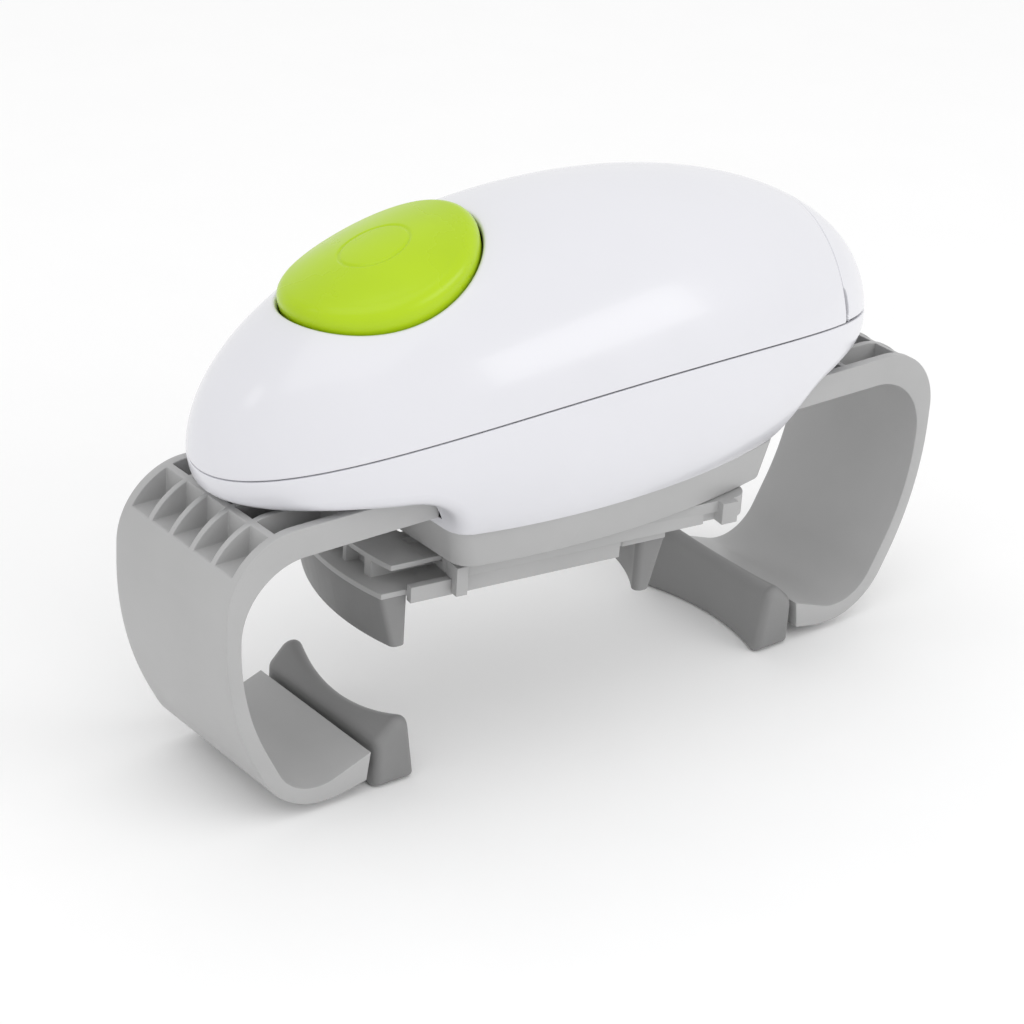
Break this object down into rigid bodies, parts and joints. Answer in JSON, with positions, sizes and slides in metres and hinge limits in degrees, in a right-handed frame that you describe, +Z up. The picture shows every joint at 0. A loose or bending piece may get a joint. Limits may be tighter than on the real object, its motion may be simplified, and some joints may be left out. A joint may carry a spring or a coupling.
{
  "type": "electric jar opener",
  "caption": "Egg-shaped battery jar opener with a push button, two C-shaped jar arms and a turning carriage with lid jaws.",
  "frame": {"origin": "middle of the footprint, on the surface that the arms stand on", "axes": "+X along the housing towards the battery door, +Z up, -Y is the side with the deeper view of the jaws"},
  "size_m": [0.2198, 0.083, 0.1342],
  "materials": {
    "white_shell": "gloss",
    "green_button": "gloss",
    "grey_plastic": "satin",
    "grip_rubber": "matte",
    "gear_plastic": "satin",
    "inner_plastic": "matte",
    "steel": "satin",
    "bronze": "satin",
    "circuit": "satin",
    "cell_jacket": "satin"
  },
  "bodies": {
    "housing": {"upper_shell": "white_shell", "lower_shell": "white_shell", "button_guide": "inner_plastic", "button_spring": "steel", "control_board": "circuit", "power_switch": "inner_plastic", "base_cover": "grey_plastic", "arm_guide": "inner_plastic", "housing_screws": "steel", "gear_chassis": "inner_plastic", "train_plate": "inner_plastic", "gear_pins": "steel", "motor": "steel", "shaft_bush": "bronze", "battery_tray": "inner_plastic", "battery_contacts": "steel", "battery_1": "cell_jacket", "battery_2": "cell_jacket"},
    "button": {"button": "green_button"},
    "battery_door": {"battery_door": "white_shell", "door_contact": "steel"},
    "arm_left": {"arm_left": "grey_plastic", "arm_pad_left": "grip_rubber"},
    "arm_right": {"arm_right": "grey_plastic", "arm_pad_right": "grip_rubber"},
    "arm_pinion": {"arm_pinion": "gear_plastic"},
    "motor_pinion": {"motor_pinion": "bronze"},
    "reduction_gear_1": {"reduction_gear_1": "gear_plastic"},
    "reduction_gear_2": {"reduction_gear_2": "gear_plastic"},
    "carriage": {"carriage": "grey_plastic", "carriage_shaft": "steel", "output_gear": "gear_plastic", "hub_retainer": "steel"},
    "shuttle": {"jaw_shuttle": "gear_plastic"},
    "jaw_pinion": {"jaw_pinion": "gear_plastic"},
    "jaw_right": {"jaw_slider_right": "grey_plastic", "jaw_pad_right": "grip_rubber"},
    "jaw_left": {"jaw_slider_left": "grey_plastic", "jaw_pad_left": "grip_rubber"}
  },
  "joints": [
    {"name": "button_press", "type": "slide", "parent": "housing", "child": "button", "axis": [0.2924, 0, -0.9563], "range_m": [0, 0.0024], "stiffness_N_per_m": 900, "springref_m": -0.0012, "deforming": ["button_spring"]},
    {"name": "battery_door_slide", "type": "slide", "parent": "housing", "child": "battery_door", "axis": [1, 0, 0], "range_m": [0, 0.045]},
    {"name": "arm_left_slide", "type": "slide", "parent": "housing", "child": "arm_left", "axis": [1, 0, 0], "range_m": [0, 0.032]},
    {"name": "arm_right_slide", "type": "slide", "parent": "housing", "child": "arm_right", "axis": [-1, 0, 0], "range_m": [0, 0.032]},
    {"name": "arm_pinion_spin", "type": "hinge", "parent": "housing", "child": "arm_pinion", "pos_m": [0, 0, 0.07], "axis": [0, 0, 1], "range_deg": [0, 229.3]},
    {"name": "carriage_spin", "type": "hinge", "parent": "housing", "child": "carriage", "pos_m": [0, 0, 0.0585], "axis": [0, 0, 1], "continuous": true},
    {"name": "reduction_gear_2_spin", "type": "hinge", "parent": "housing", "child": "reduction_gear_2", "pos_m": [-0.01761, -0.01116, 0.0835], "axis": [0, 0, 1], "continuous": true},
    {"name": "reduction_gear_1_spin", "type": "hinge", "parent": "housing", "child": "reduction_gear_1", "pos_m": [-0.02509, 0.00658, 0.088], "axis": [0, 0, 1], "continuous": true},
    {"name": "motor_pinion_spin", "type": "hinge", "parent": "housing", "child": "motor_pinion", "pos_m": [-0.007, 0, 0.0905], "axis": [0, 0, 1], "continuous": true},
    {"name": "shuttle_slide", "type": "slide", "parent": "carriage", "child": "shuttle", "axis": [0.9903, -0.1392, 0], "range_m": [0, 0.039]},
    {"name": "jaw_right_slide", "type": "slide", "parent": "shuttle", "child": "jaw_right", "axis": [-0.9903, 0.1392, 0], "range_m": [-0.003, 0.016]},
    {"name": "jaw_left_slide", "type": "slide", "parent": "shuttle", "child": "jaw_left", "axis": [0.9903, -0.1392, 0], "range_m": [-0.003, 0.016]},
    {"name": "jaw_pinion_spin", "type": "hinge", "parent": "shuttle", "child": "jaw_pinion", "pos_m": [-0.01931, 0.00271, 0.0515], "axis": [0, 0, 1], "range_deg": [-28.7, 152.9]}
  ],
  "couplings": [
    {"joint": "arm_right_slide", "follows": "arm_left_slide", "ratio": 1},
    {"joint": "arm_pinion_spin", "follows": "arm_left_slide", "rad_per_m": 125},
    {"joint": "reduction_gear_2_spin", "follows": "carriage_spin", "ratio": -3.3333},
    {"joint": "reduction_gear_1_spin", "follows": "carriage_spin", "ratio": 10},
    {"joint": "motor_pinion_spin", "follows": "carriage_spin", "ratio": -30},
    {"joint": "jaw_left_slide", "follows": "jaw_right_slide", "ratio": 1},
    {"joint": "jaw_pinion_spin", "follows": "jaw_right_slide", "rad_per_m": 166.67}
  ]
}
